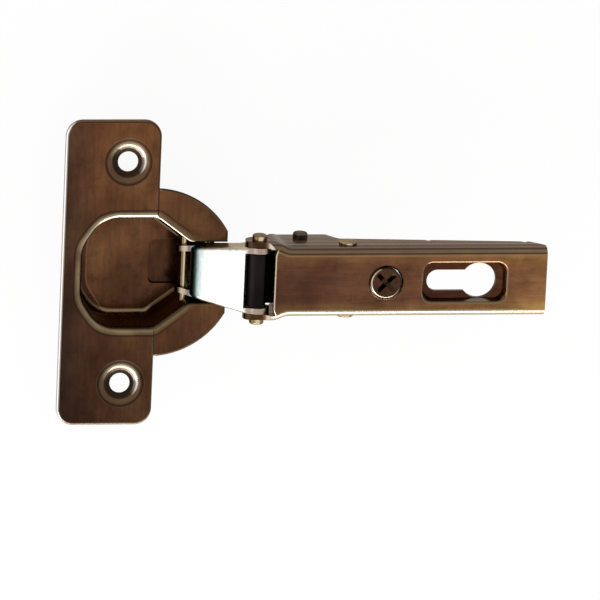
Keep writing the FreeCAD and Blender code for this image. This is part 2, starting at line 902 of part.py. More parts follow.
def spring_leaf(index):
    """One leaf: wrapped over the sleeve from above, under it, then straight back along the arm."""
    inner = leaf_inner_radii[index]
    outer = inner + leaf_thickness
    start = leaf_wrap_end + index * leaf_wrap_step
    wrap = ring_sector(knuckle_pivot, inner, outer, start, half_turn + quarter_turn, leaf_half)
    tail_end = spring_pin_x - index * leaf_tail_end_step
    if index > 0:
        tail_end = tail_end + leaf_tail_overrun
    tail = Part.makeBox(
        tail_end - knuckle_pivot.x,
        2 * leaf_half,
        leaf_thickness,
        Vec(knuckle_pivot.x, -leaf_half, knuckle_pivot.z - outer),
    )
    leaf = wrap.fuse(tail)
    if index == 0:
        anchor = Vec(spring_pin_x, 0, spring_pin_z)
        near = spring_pin_radius + running_gap
        hook = ring_sector(anchor, near, near + leaf_thickness, -quarter_turn, leaf_hook_end, leaf_half)
        leaf = leaf.fuse(hook)
    return leaf.removeSplitter()


def spring_sleeve():
    """The sleeve that the leaves bear on, loose on the knuckle pin."""
    outside = cross_cylinder(knuckle_pivot, sleeve_outer, leaf_half)
    return outside.cut(cross_cylinder(knuckle_pivot, knuckle_pin_radius + running_gap, leaf_half))


def build():
    """All pieces by name."""
    cup_wall = channel_half + press_depth
    pieces = {
        "hinge_cup": hinge_cup(),
        "hinge_arm": hinge_arm(),
        "outer_link": outer_link(),
        "inner_link": inner_link(),
        "cup_outer_pin": plain_pin(cup_outer_pivot, cup_outer_pin_radius, cup_wall),
        "cup_inner_pin": plain_pin(cup_inner_pivot, cup_inner_pin_radius, cup_inner_pin_half),
        "knuckle_pin": rivet(
            knuckle_pivot, knuckle_pin_radius, ear_half, knuckle_head_radius, knuckle_head_height
        ),
        "arm_inner_pin": rivet(
            arm_inner_pivot,
            arm_inner_pin_radius,
            arm_half,
            arm_inner_head_radius,
            arm_inner_head_height,
        ),
        "spring_pin": rivet(
            Vec(spring_pin_x, 0, spring_pin_z),
            spring_pin_radius,
            arm_half,
            spring_head_radius,
            spring_head_height,
        ),
        "spring_sleeve": spring_sleeve(),
        "side_adjust_screw": side_adjust_screw(),
    }
    for index in range(leaf_count):
        pieces["spring_leaf_" + str(index + 1)] = spring_leaf(index)
    return pieces


def main():
    os.makedirs("parts", exist_ok=True)
    for name, shape in build().items():
        shape.exportStep("parts/" + name + ".step")
        print(name, len(shape.Solids), shape.isValid(), round(shape.Volume, 2))


main()
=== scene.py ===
import math

import bmesh
import bpy
from mathutils import Matrix, Vector


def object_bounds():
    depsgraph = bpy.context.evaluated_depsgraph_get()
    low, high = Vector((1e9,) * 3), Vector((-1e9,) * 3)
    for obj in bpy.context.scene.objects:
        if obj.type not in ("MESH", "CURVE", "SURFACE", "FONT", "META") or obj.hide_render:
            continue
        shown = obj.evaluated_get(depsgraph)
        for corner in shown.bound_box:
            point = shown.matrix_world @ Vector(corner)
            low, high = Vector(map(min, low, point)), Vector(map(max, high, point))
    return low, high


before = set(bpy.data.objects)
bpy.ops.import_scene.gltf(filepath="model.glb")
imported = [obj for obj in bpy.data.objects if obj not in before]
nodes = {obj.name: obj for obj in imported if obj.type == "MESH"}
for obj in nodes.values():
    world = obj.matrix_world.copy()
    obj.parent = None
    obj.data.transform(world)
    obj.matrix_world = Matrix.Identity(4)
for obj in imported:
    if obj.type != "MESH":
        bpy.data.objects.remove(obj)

cad_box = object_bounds()


# The drawn cup: flange, lips and eight-sided cavity in one piece of 1.2 mm steel.
# Pressed in several draws, then plated with bright nickel that has a dark bronze cast. Painted
# highlights make it brightest where the sheet turns over its rims, over painted shades and
# reflections.
no_stretch = (1.0, 1.0, 1.0)


def socket(node, name, value):
    node.inputs[name].default_value = value


def object_place(tree, stretch=no_stretch):
    """Places on the piece in metres, stretched where a pattern runs in streaks."""
    place = tree.nodes.new("ShaderNodeTexCoord")
    mapping = tree.nodes.new("ShaderNodeMapping")
    socket(mapping, "Scale", stretch)
    tree.links.new(place.outputs["Object"], mapping.inputs["Vector"])
    return mapping.outputs["Vector"]


def noise(tree, scale, detail, rough=0.55, stretch=no_stretch):
    pattern = tree.nodes.new("ShaderNodeTexNoise")
    socket(pattern, "Scale", scale)
    socket(pattern, "Detail", detail)
    socket(pattern, "Roughness", rough)
    tree.links.new(object_place(tree, stretch), pattern.inputs["Vector"])
    return pattern.outputs["Fac"]


def spread(tree, factor, low, high, start=0.3, end=0.7):
    """A value that goes from low to high while the factor goes from start to end."""
    ranged = tree.nodes.new("ShaderNodeMapRange")
    socket(ranged, "From Min", start)
    socket(ranged, "From Max", end)
    socket(ranged, "To Min", low)
    socket(ranged, "To Max", high)
    tree.links.new(factor, ranged.inputs["Value"])
    return ranged.outputs["Result"]


def colour_steps(tree, factor, steps):
    """Colours at steps of a factor between 0 and 1, with a blend from each to the next."""
    ramp = tree.nodes.new("ShaderNodeValToRGB")
    stops = ramp.color_ramp.elements
    stops[0].position = steps[0][0]
    stops[1].position = steps[-1][0]
    for place, _ in steps[1:-1]:
        stops.new(place)
    for stop, (_, colour) in zip(stops, steps):
        stop.color = colour
    tree.links.new(factor, ramp.inputs["Fac"])
    return ramp.outputs["Color"]


def colours_by(tree, measure, steps):
    """Colours at steps of a measure in metres, such as a place or a distance."""
    low = steps[0][0]
    high = steps[-1][0]
    share = spread(tree, measure, 0.0, 1.0, low, high)
    return colour_steps(tree, share, [((at - low) / (high - low), tone) for at, tone in steps])


def grey(value):
    return (value, value, value, 1.0)


# Where a colour's Mix node keeps its factor, its two colours and its result.
mix_factor = 0
mix_first = 6
mix_second = 7
mix_result = 2


def mixed(tree, kind, factor, first, second):
    """The first colour with the second mixed in, which may be a plain colour."""
    mix = tree.nodes.new("ShaderNodeMix")
    mix.data_type = "RGBA"
    mix.blend_type = kind
    if isinstance(factor, float):
        mix.inputs[mix_factor].default_value = factor
    else:
        tree.links.new(factor, mix.inputs[mix_factor])
    tree.links.new(first, mix.inputs[mix_first])
    if isinstance(second, tuple):
        mix.inputs[mix_second].default_value = second
    else:
        tree.links.new(second, mix.inputs[mix_second])
    return mix.outputs[mix_result]


def multiplied(tree, first, second):
    return mixed(tree, "MULTIPLY", 1.0, first, second)


def laid_over(tree, base, share, tone):
    return mixed(tree, "MIX", share, base, tone)


def along(tree, axis, steps):
    """Colours at places along one axis of the piece, in metres."""
    split = tree.nodes.new("ShaderNodeSeparateXYZ")
    tree.links.new(object_place(tree), split.inputs["Vector"])
    return colours_by(tree, split.outputs[axis], steps)


def facing(tree, axis):
    """How far the surface faces along one axis of the piece, from -1 to 1."""
    place = tree.nodes.new("ShaderNodeTexCoord")
    split = tree.nodes.new("ShaderNodeSeparateXYZ")
    tree.links.new(place.outputs["Normal"], split.inputs["Vector"])
    return split.outputs[axis]


def turned_away(tree, steps):
    """A share by how the surface slopes: 0 where it stands on edge, 1 in the flat of the sheet."""
    size = tree.nodes.new("ShaderNodeMath")
    size.operation = "ABSOLUTE"
    tree.links.new(facing(tree, "Z"), size.inputs[0])
    return colour_steps(tree, size.outputs[0], [(at, grey(value)) for at, value in steps])


def turned_along(tree, axis, steps):
    """A share by how the surface faces: 0 against the axis, 0.5 beside it, 1 along it."""
    share = spread(tree, facing(tree, axis), 0.0, 1.0, -1.0, 1.0)
    return colour_steps(tree, share, [(at, grey(value)) for at, value in steps])


# The finish that all the steel pieces share: how fine its clouds, streaks, scuffs and
# grain are, as patches per metre, and how much each changes the colour.
coat_weight = 0.12
coat_rough = 0.06
edge_tint = (0.55, 0.48, 0.42, 1.0)
clouds = {"scale": 70.0, "detail": 3.0}
cloud_stops = (0.34, 0.52, 0.72)
streaks = {"scale": 1100.0, "detail": 4.0, "rough": 0.7}
streak_tones = [(0.30, grey(0.80)), (0.70, grey(1.20))]
scuffs = {"scale": 420.0, "detail": 8.0, "rough": 0.75}
scuff_tones = [(0.36, grey(0.62)), (0.46, grey(1.0)), (0.66, grey(1.25))]
scuff_share = 0.6
dull_times = 1.5
bright_times = 0.75
grain = {"scale": 3500.0, "detail": 3.0}
grain_strength = 0.3
grain_depth = 0.00001
slope = "slope"
everywhere = []


def plated_steel(name, colours, changes, turns, stretch, rough, shades=None):
    """Plated steel: cloudy colour, drawn streaks, scuffs, fine grain, and painted light and shade.

    changes: pairs of an axis and its painted shades and highlights, under the turned faces' tones.
    turns: for each painted highlight, glint, reflection and shade on turned faces, the axis that
    its
        faces turn along, or slope for how they stand, the steps of the turn, the colour, and the
        places that keep it.
    shades: a pair of an axis and its painted shades and highlights, over all the rest.
    """
    material = bpy.data.materials.new(name)
    material.use_nodes = True
    tree = material.node_tree
    shader = tree.nodes["Principled BSDF"]
    socket(shader, "Metallic", 1.0)
    socket(shader, "Coat Weight", coat_weight)
    socket(shader, "Coat Roughness", coat_rough)
    socket(shader, "Specular Tint", edge_tint)
    scuff = noise(tree, **scuffs)
    base = colour_steps(tree, noise(tree, **clouds), list(zip(cloud_stops, colours)))
    for axis, steps in changes:
        base = multiplied(tree, base, along(tree, axis, steps))
    streak = noise(tree, stretch=stretch, **streaks)
    base = multiplied(tree, base, colour_steps(tree, streak, streak_tones))
    marks = colour_steps(tree, scuff, scuff_tones)
    base = mixed(tree, "MULTIPLY", scuff_share, base, marks)
    for axis, steps, colour, places in turns:
        share = turned_away(tree, steps) if axis == slope else turned_along(tree, axis, steps)
        for side, place in places:
            share = multiplied(tree, share, along(tree, side, place))
        base = laid_over(tree, base, share, colour)
    if shades:
        base = multiplied(tree, base, along(tree, *shades))
    tree.links.new(base, shader.inputs["Base Color"])
    sheen = spread(tree, scuff, rough * dull_times, rough * bright_times)
    tree.links.new(sheen, shader.inputs["Roughness"])
    bump = tree.nodes.new("ShaderNodeBump")
    socket(bump, "Strength", grain_strength)
    socket(bump, "Distance", grain_depth)
    tree.links.new(noise(tree, **grain), bump.inputs["Height"])
    tree.links.new(bump.outputs["Normal"], shader.inputs["Normal"])
    return material


def dress(material, *names):
    for name in names:
        piece = nodes[name]
        piece.data.materials.clear()
        piece.data.materials.append(material)


cup_dark = (0.070, 0.029, 0.014, 1.0)
cup_brown = (0.112, 0.049, 0.023, 1.0)
cup_gold = (0.170, 0.084, 0.036, 1.0)
cup_rough = 0.22
cup_streaks = (1.0, 0.12, 1.0)
white = grey(1.0)
# Painted light across the cup, darker towards -Y and lighter towards +Y, and a painted shade,
# cooler and darker, towards its left end.
cup_painted_across = [
    (-0.030, (0.74, 0.70, 0.68, 1.0)), (0.012, (1.14, 1.08, 1.00, 1.0)),
    (0.034, (2.10, 1.98, 1.66, 1.0)),
]
cup_painted_left = [(-0.0134, (0.45, 0.53, 0.74, 1.0)), (-0.005, white)]

# Its painted light by height, from the well's floor up the cavity's wall to the edges of the
# flange:
# painted shade on the well's floor, painted reflections in bands on the wall, and painted shade in
# two thin lines in the flange, the lower one on the screw holes' walls.
well_shade = (0.66, 0.64, 0.66, 1.0)
wall_red_reflection = (1.25, 1.0, 0.92, 1.0)
wall_black_reflection = (0.55, 0.60, 0.58, 1.0)
wall_olive_reflection = (1.45, 1.85, 1.60, 1.0)
line_shade = (0.22, 0.20, 0.20, 1.0)
cup_painted_heights = [
    (-0.0101, well_shade), (-0.0096, well_shade), (-0.0094, white), (-0.0082, wall_red_reflection),
    (-0.0066, wall_black_reflection), (-0.0040, wall_olive_reflection), (-0.0006, wall_olive_reflection),
    (0.00008, line_shade), (0.00058, line_shade), (0.00072, white),
    (0.00108, white), (0.00112, line_shade), (0.00117, line_shade), (0.001195, white),
]

# Its turned faces, with painted light: a painted highlight on the rims, painted shade on the lips'
# edges, painted shade and a painted glint in the screw holes' dishes, a painted glint on faces
# turned to -X, and a painted highlight on the flange's left edge, which shines.
cup_rim_highlight = (0.28, 0.22, 0.13, 1.0)
cup_rim_highlight_steps = [(0.05, 0.0), (0.25, 0.60), (0.80, 0.90), (0.95, 0.60), (0.995, 0.0)]
lip_edge_shade = (0.030, 0.018, 0.012, 1.0)
lip_edge_shade_steps = [(0.25, 0.0), (0.35, 0.85), (0.90, 0.80), (0.99, 0.0)]
lip_place = ("X", [(0.0072, grey(0.0)), (0.0078, grey(1.0))])
dish_shade = (0.115, 0.062, 0.032, 1.0)
dish_shade_steps = [(0.51, 0.0), (0.60, 0.80)]
dish_glint = (0.46, 0.38, 0.27, 1.0)
dish_glint_steps = [(0.10, 0.85), (0.36, 0.70), (0.46, 0.0)]
dish_place = ("Y", [
    (-0.0185, grey(1.0)), (-0.0178, grey(0.0)), (0.0178, grey(0.0)), (0.0185, grey(1.0)),
])
flange_place = ("Z", [(-0.0002, grey(0.0)), (0.0001, grey(1.0))])
cup_glint = (0.78, 0.73, 0.66, 1.0)
cup_glint_steps = [(0.15, 0.95), (0.25, 0.80), (0.31, 0.0)]
cup_edge_highlight = (0.92, 0.89, 0.86, 1.0)
cup_edge_highlight_steps = [(0.15, 0.98), (0.33, 0.88), (0.42, 0.0)]
cup_edge_highlight_place = ("X", [(-0.0126, grey(1.0)), (-0.0122, grey(0.0))])

cup_nickel = plated_steel(
    "cup_nickel",
    (cup_dark, cup_brown, cup_gold),
    [("Y", cup_painted_across), ("X", cup_painted_left)],
    [
        (slope, cup_rim_highlight_steps, cup_rim_highlight, everywhere),
        (slope, lip_edge_shade_steps, lip_edge_shade, [lip_place]),
        ("X", dish_shade_steps, dish_shade, [dish_place]),
        ("Y", dish_shade_steps, dish_shade, [dish_place]),
        ("Y", dish_glint_steps, dish_glint, [dish_place]),
        ("X", cup_glint_steps, cup_glint, [flange_place]),
        ("X", cup_edge_highlight_steps, cup_edge_highlight, [flange_place, cup_edge_highlight_place]),
    ],
    cup_streaks,
    cup_rough,
    ("Z", cup_painted_heights),
)

# The cavity's outline in plan, for the half with Y above 0, and how far its corners are
# rounded where two sides meet.
cavity_corners = [
    (-0.0091, 0.0), (-0.0091, 0.0056), (-0.0049, 0.0119), (0.0068, 0.0119), (0.0139, 0.00665),
]
mouth_end = 0.020
left_rounding = 0.0019
side_rounding = 0.0056
right_rounding = 0.0008


def past_line(tree, plan, start, end):
    """How far a place in the plan lies to the left of the line from start to end."""
    run = Vector(end) - Vector(start)
    out = Vector((-run.y, run.x)).normalized()
    reach = tree.nodes.new("ShaderNodeVectorMath")
    reach.operation = "DOT_PRODUCT"
    tree.links.new(plan, reach.inputs[0])
    reach.inputs[1].default_value = (out.x, out.y, -out.dot(Vector(start)))
    return reach.outputs["Value"]


def either_of(tree, kind, first, second, rounding=0.0):
    """The larger or the smaller of two values, by kind, rounded off where they meet."""
    pick = tree.nodes.new("ShaderNodeMath")
    pick.operation = kind
    tree.links.new(first, pick.inputs[0])
    tree.links.new(second, pick.inputs[1])
    pick.inputs[2].default_value = rounding
    return pick.outputs[0]


def cavity_distances(tree):
    """How far a place lies outside the cavity's wall in plan, and outside the wall's left end."""
    split = tree.nodes.new("ShaderNodeSeparateXYZ")
    tree.links.new(object_place(tree), split.inputs["Vector"])
    half = tree.nodes.new("ShaderNodeMath")
    half.operation = "ABSOLUTE"
    tree.links.new(split.outputs["Y"], half.inputs[0])
    plan = tree.nodes.new("ShaderNodeCombineXYZ")
    tree.links.new(split.outputs["X"], plan.inputs["X"])
    tree.links.new(half.outputs[0], plan.inputs["Y"])
    socket(plan, "Z", 1.0)
    end_side, left_side, long_side, right_side = [
        past_line(tree, plan.outputs[0], start, end)
        for start, end in zip(cavity_corners, cavity_corners[1:])
    ]
    mouth_corner = cavity_corners[-1]
    mouth_side = past_line(tree, plan.outputs[0], mouth_corner, (mouth_end, mouth_corner[1]))
    left = either_of(tree, "SMOOTH_MAX", end_side, left_side, left_rounding)
    side = either_of(tree, "SMOOTH_MAX", left, long_side, side_rounding)
    right = either_of(tree, "MINIMUM", right_side, mouth_side)
    return either_of(tree, "SMOOTH_MAX", side, right, right_rounding), left


# The cavity's floor takes painted shade at its left end, by the foot of the wall, past a thin pale
# line of painted highlight.
floor_height = [(-0.0080, grey(1.0)), (-0.0070, grey(0.0))]
floor_end_shade = (0.50, 0.44, 0.42, 1.0)
floor_end_dark_shade = (0.42, 0.36, 0.34, 1.0)
floor_side = [
    (-0.00262, white), (-0.00240, floor_end_shade), (-0.0008, floor_end_dark_shade), (0.0, floor_end_dark_shade),
]
floor_ring = [
    (-0.00285, grey(0.0)), (-0.00262, grey(0.55)), (-0.00245, grey(0.0)), (-0.0020, grey(0.0)),
]
floor_ring_highlight = (0.24, 0.15, 0.090, 1.0)
tree = cup_nickel.node_tree
shader = tree.nodes["Principled BSDF"]
base = shader.inputs["Base Color"].links[0].from_socket
rim_distance, left_distance = cavity_distances(tree)
on_floor = along(tree, "Z", floor_height)
base = mixed(tree, "MULTIPLY", on_floor, base, colours_by(tree, left_distance, floor_side))
ring = multiplied(tree, colours_by(tree, left_distance, floor_ring), on_floor)
base = laid_over(tree, base, ring, floor_ring_highlight)

# Its rounded rim is painted as an olive band of reflection that runs out onto the flange between
# two dark lines of painted shade, with a painted glint on the side that faces -Y.
rim_dark_shade = (0.030, 0.017, 0.010, 1.0)
rim_painted_band = [
    (0.0, (0.045, 0.028, 0.016, 1.0)), (0.00025, (0.07, 0.045, 0.024, 1.0)),
    (0.00050, (0.20, 0.14, 0.075, 1.0)), (0.00075, (0.30, 0.235, 0.135, 1.0)),
    (0.00100, (0.22, 0.155, 0.08, 1.0)), (0.00140, (0.15, 0.095, 0.048, 1.0)),
    (0.00155, rim_dark_shade), (0.00178, rim_dark_shade), (0.00195, (0.09, 0.045, 0.024, 1.0)),
]
rim_share = [
    (-0.0001, grey(0.0)), (0.0, grey(0.85)), (0.00155, grey(0.85)), (0.00178, grey(0.75)),
    (0.00198, grey(0.0)),
]
rim_height = [(0.0, grey(0.0)), (0.0003, grey(1.0))]
rim_reach = [(0.0067, grey(1.0)), (0.0071, grey(0.70)), (0.0135, grey(0.60)), (0.0150, grey(0.0))]
rim_clouds = {"scale": 260.0, "detail": 4.0}
rim_cloud_tones = [(0.34, grey(0.70)), (0.66, grey(1.25))]
rim_glint = (0.62, 0.54, 0.40, 1.0)
rim_glint_steps = [(0.10, 0.95), (0.36, 0.75), (0.48, 0.0)]
on_rim = multiplied(
    tree, colours_by(tree, rim_distance, rim_share), along(tree, "Z", rim_height)
)
on_rim = multiplied(tree, on_rim, along(tree, "X", rim_reach))
rim_cloud = colour_steps(tree, noise(tree, **rim_clouds), rim_cloud_tones)
rim_painted_tone = multiplied(tree, colours_by(tree, rim_distance, rim_painted_band), rim_cloud)
base = laid_over(tree, base, on_rim, rim_painted_tone)
glint = multiplied(tree, on_rim, turned_along(tree, "Y", rim_glint_steps))
base = laid_over(tree, base, glint, rim_glint)
tree.links.new(base, shader.inputs["Base Color"])
dress(cup_nickel, "hinge_cup")


# The one-piece arm and the inner link riveted into it, folded from the same plated sheet, with
# painted reflections dark at the knuckle and more golden towards the rear, painted highlights on
# the bends and painted grey reflections on the walls.
arm_dark = (0.078, 0.034, 0.018, 1.0)
arm_brown = (0.130, 0.058, 0.030, 1.0)
arm_gold = (0.185, 0.090, 0.044, 1.0)
arm_rough = cup_rough
arm_streaks = (0.10, 1.0, 1.0)
# Painted reflections along and across the arm: darker at the knuckle, lighter and more golden
# towards the rear, and lighter near both sides of the web.
arm_painted_lengthwise = [
    (0.030, (0.72, 0.68, 0.72, 1.0)), (0.050, (1.08, 1.05, 1.04, 1.0)),
    (0.070, (1.58, 1.54, 1.42, 1.0)), (0.089, (2.60, 2.85, 2.20, 1.0)),
]
arm_painted_across = [
    (-0.0058, (1.55, 1.80, 1.40, 1.0)), (-0.0034, (1.0, 0.95, 0.98, 1.0)),
    (0.0, (0.96, 0.90, 0.95, 1.0)), (0.0034, (1.0, 0.95, 0.98, 1.0)),
    (0.0056, (1.35, 1.42, 1.15, 1.0)),
]

# Its painted light by height, from the lower edges of the walls to the recess and the web: painted
# reflections in pale and dark bands along the walls, and painted shade in the keyhole and on the
# recess's floor.
wall_pale_reflection = (1.12, 1.20, 1.28, 1.0)
wall_dark_reflection_line = (0.50, 0.46, 0.46, 1.0)
wall_light_reflection = (1.40, 1.34, 1.32, 1.0)
hole_shade = (0.22, 0.19, 0.17, 1.0)
recess_shade = (0.48, 0.40, 0.38, 1.0)
arm_painted_heights = [
    (-0.0024, wall_pale_reflection), (0.0010, wall_pale_reflection), (0.0013, wall_dark_reflection_line), (0.0017, wall_dark_reflection_line),
    (0.0021, white), (0.0044, white), (0.0048, wall_dark_reflection_line), (0.0054, wall_dark_reflection_line),
    (0.0058, wall_light_reflection), (0.0066, wall_light_reflection), (0.0070, hole_shade), (0.0079, hole_shade),
    (0.0080, recess_shade), (0.0084, recess_shade), (0.0087, white),
]

# Its turned faces, with painted light: painted highlights on the bends, golden lines of painted
# highlight and dark lines of painted reflection along the far bend, a cream painted highlight on
# the near bend and on the front edge of the web, and grey walls of painted reflection.
arm_bend_highlight = (0.27, 0.19, 0.105, 1.0)
arm_bend_highlight_steps = [(0.0, 0.20), (0.30, 0.40), (0.70, 0.70), (0.95, 0.60), (0.995, 0.0)]
arm_wall_reflection = (0.16, 0.135, 0.12, 1.0)
arm_far_steps = [(0.75, 0.0), (0.95, 0.70)]
arm_near_steps = [(0.0, 0.70), (0.05, 0.30), (0.10, 0.0)]
arm_gold_highlight = (0.34, 0.22, 0.11, 1.0)
arm_gold_steps = [(0.53, 0.0), (0.57, 0.80), (0.62, 0.0)]
arm_dark_reflection = (0.045, 0.026, 0.018, 1.0)
arm_dark_steps = [
    (0.63, 0.0), (0.66, 0.90), (0.70, 0.90), (0.74, 0.20), (0.86, 0.20), (0.90, 0.90),
    (0.94, 0.90), (0.97, 0.0),
]
arm_cream_highlight = (0.62, 0.54, 0.40, 1.0)
near_bend_steps = [(0.002, 0.0), (0.03, 0.80), (0.10, 0.90), (0.28, 0.70), (0.44, 0.0)]
near_bend_place = ("Y", [(-0.0060, grey(1.0)), (-0.0052, grey(0.0))])
web_front_steps = [(0.10, 0.90), (0.40, 0.80), (0.47, 0.0)]
web_front_place = ("X", [(0.0315, grey(1.0)), (0.0325, grey(0.0))])
web_place = ("Z", [(0.0086, grey(0.0)), (0.0090, grey(1.0))])

arm_nickel = plated_steel(
    "arm_nickel",
    (arm_dark, arm_brown, arm_gold),
    [("X", arm_painted_lengthwise), ("Y", arm_painted_across)],
    [
        (slope, arm_bend_highlight_steps, arm_bend_highlight, everywhere),
        ("Y", arm_far_steps, arm_wall_reflection, everywhere),
        ("Y", arm_gold_steps, arm_gold_highlight, everywhere),
        ("Y", arm_dark_steps, arm_dark_reflection, everywhere),
        ("Y", arm_near_steps, arm_wall_reflection, everywhere),
        ("Y", near_bend_steps, arm_cream_highlight, [near_bend_place]),
        ("X", web_front_steps, arm_cream_highlight, [web_front_place, web_place]),
    ],
    arm_streaks,
    arm_rough,
    ("Z", arm_painted_heights),
)
dress(arm_nickel, "hinge_arm", "inner_link")


# The outer link, folded from sheet with a roll at its cup end that takes the cup pin, and plated
# with bright white zinc. Its roll and ears are painted with reflections of the dark cup round
# them, and with painted shade on the roll's faces turned to -X.
zinc_dark = (0.80, 0.80, 0.79, 1.0)
zinc_white = (0.93, 0.93, 0.92, 1.0)
zinc_light = (0.97, 0.97, 0.96, 1.0)
zinc_rough = 0.28
zinc_streaks = (1.0, 0.2, 1.0)
# Its turned faces: painted reflections on the bends and ears, and a painted teal reflection and
# painted shade on the roll.
zinc_bend_reflection = (0.40, 0.34, 0.24, 1.0)
zinc_bend_reflection_steps = [(0.0, 0.75), (0.55, 0.75), (0.70, 0.15), (0.80, 0.0)]
zinc_ear_reflection = (0.50, 0.43, 0.29, 1.0)
zinc_ear_reflection_steps = [(0.70, 0.0), (0.90, 0.85)]
zinc_teal_reflection = (0.16, 0.22, 0.22, 1.0)
zinc_teal_reflection_steps = [(0.06, 1.0), (0.13, 0.85), (0.19, 0.0)]
zinc_shade = (0.045, 0.036, 0.028, 1.0)
zinc_shade_steps = [(0.0, 1.0), (0.035, 1.0), (0.09, 0.0)]
# Painted reflections along the link: dark and light on the ears' ends at the cup pin, dark then
# teal over the roll, and darker on the ears at the knuckle.
ear_dark_reflection = (0.14, 0.10, 0.07, 1.0)
ear_light_reflection = (0.50, 0.41, 0.32, 1.0)
zinc_painted_lengthwise = [
    (0.0112, ear_dark_reflection), (0.0124, ear_dark_reflection), (0.0128, ear_light_reflection), (0.0135, ear_light_reflection),
    (0.0140, (0.16, 0.12, 0.08, 1.0)), (0.0147, (0.34, 0.42, 0.43, 1.0)),
    (0.0156, (0.42, 0.52, 0.53, 1.0)), (0.0165, (0.84, 0.92, 0.93, 1.0)), (0.0173, white),
    (0.0245, white), (0.0251, (0.52, 0.40, 0.33, 1.0)),
]
white_zinc = plated_steel(
    "white_zinc",
    (zinc_dark, zinc_white, zinc_light),
    [],
    [
        (slope, zinc_bend_reflection_steps, zinc_bend_reflection, everywhere),
        ("Y", zinc_ear_reflection_steps, zinc_ear_reflection, everywhere),
        ("X", zinc_teal_reflection_steps, zinc_teal_reflection, everywhere),
        ("X", zinc_shade_steps, zinc_shade, everywhere),
    ],
    zinc_streaks,
    zinc_rough,
    ("X", zinc_painted_lengthwise),
)
dress(white_zinc, "outer_link")


# The pins: turned steel, pressed into the cup or closed over with flat heads on the arm's walls,
# and plated. A painted highlight runs along the top of each.
pin_dark = (0.10, 0.060, 0.028, 1.0)
pin_brown = (0.19, 0.12, 0.060, 1.0)
pin_gold = (0.30, 0.21, 0.11, 1.0)
pin_rough = 0.18
pin_highlight = (0.85, 0.72, 0.45, 1.0)
pin_highlight_steps = [(0.0, 0.0), (0.90, 0.05), (0.965, 0.85), (1.0, 1.0)]
pin_nickel = plated_steel(
    "pin_nickel",
    (pin_dark, pin_brown, pin_gold),
    [],
    [(slope, pin_highlight_steps, pin_highlight, everywhere)],
    no_stretch,
    pin_rough,
)
dress(pin_nickel, "cup_outer_pin", "cup_inner_pin", "knuckle_pin", "spring_pin")


# The rivet that the inner link turns on, between the arm's ears: turned steel, closed over
# with flat heads, and blackened instead of plated.
rivet_dark = (0.020, 0.015, 0.012, 1.0)
rivet_brown = (0.040, 0.030, 0.024, 1.0)
rivet_light = (0.080, 0.062, 0.050, 1.0)
rivet_rough = 0.25
# A painted highlight lies on the rounded edges of its heads.
rivet_edge_highlight = (0.30, 0.26, 0.22, 1.0)
rivet_edge_highlight_steps = [(0.0, 0.0), (0.60, 0.10), (0.85, 0.45), (1.0, 0.1)]
dark_rivet = plated_steel(
    "dark_rivet",
    (rivet_dark, rivet_brown, rivet_light),
    [],
    [(slope, rivet_edge_highlight_steps, rivet_edge_highlight, everywhere)],
    no_stretch,
    rivet_rough,
)
dress(dark_rivet, "arm_inner_pin")


# The side adjusting screw: turned steel with a pressed cross recess and a rolled thread, plated
# darker than the arm, with painted shade on its sloping faces and painted highlights on the rim of
# its head and on the walls of the cross.
screw_dark = (0.050, 0.022, 0.012, 1.0)
screw_brown = (0.090, 0.040, 0.021, 1.0)
screw_gold = (0.150, 0.080, 0.042, 1.0)
screw_rough = 0.2
screw_shade = (0.040, 0.024, 0.015, 1.0)
screw_shade_steps = [(0.60, 0.9), (0.93, 0.7), (0.985, 0.0)]
screw_edge_highlight = (0.80, 0.68, 0.52, 1.0)
screw_edge_highlight_steps = [(0.05, 0.90), (0.36, 0.65), (0.46, 0.0)]
screw_left = ("X", [(0.0529, grey(1.0)), (0.0534, grey(0.0))])
screw_near = ("Y", [(-0.0015, grey(1.0)), (-0.0010, grey(0.0))])
screw_nickel = plated_steel(
    "screw_nickel",
    (screw_dark, screw_brown, screw_gold),
    [],
    [
        (slope, screw_shade_steps, screw_shade, everywhere),
        ("X", screw_edge_highlight_steps, screw_edge_highlight, [screw_left]),
        ("Y", screw_edge_highlight_steps, screw_edge_highlight, [screw_near]),
    ],
    no_stretch,
    screw_rough,
)

# Its thread, by a wave pattern, which at a scale of 1 turns 20 radians in a metre.
thread_pitch = 0.0007
thread_depth = 0.00012
thread_top = [(0.0080, grey(1.0)), (0.0084, grey(0.0))]
wave_turns_per_metre = 20.0 / (2.0 * math.pi)
tree = screw_nickel.node_tree
thread = tree.nodes.new("ShaderNodeTexWave")
thread.bands_direction = "Z"
socket(thread, "Scale", 1.0 / (thread_pitch * wave_turns_per_metre))
tree.links.new(object_place(tree), thread.inputs["Vector"])
ridges = multiplied(tree, thread.outputs["Color"], along(tree, "Z", thread_top))
thread_bump = tree.nodes.new("ShaderNodeBump")
socket(thread_bump, "Distance", thread_depth)
tree.links.new(ridges, thread_bump.inputs["Height"])
tree.links.new(tree.nodes["Bump"].outputs["Normal"], thread_bump.inputs["Normal"])
tree.links.new(thread_bump.outputs["Normal"], tree.nodes["Principled BSDF"].inputs["Normal"])
dress(screw_nickel, "side_adjust_screw")


# Three leaves of blackened spring steel, rolled one over the next round the knuckle pin,
# and oiled. They press the link, so that the hinge stays shut.
leaf_dark = (0.003, 0.003, 0.003, 1.0)
leaf_black = (0.006, 0.005, 0.005, 1.0)
leaf_grey = (0.014, 0.011, 0.011, 1.0)
leaf_rough = 0.30
leaf_streaks = (1.0, 0.08, 1.0)
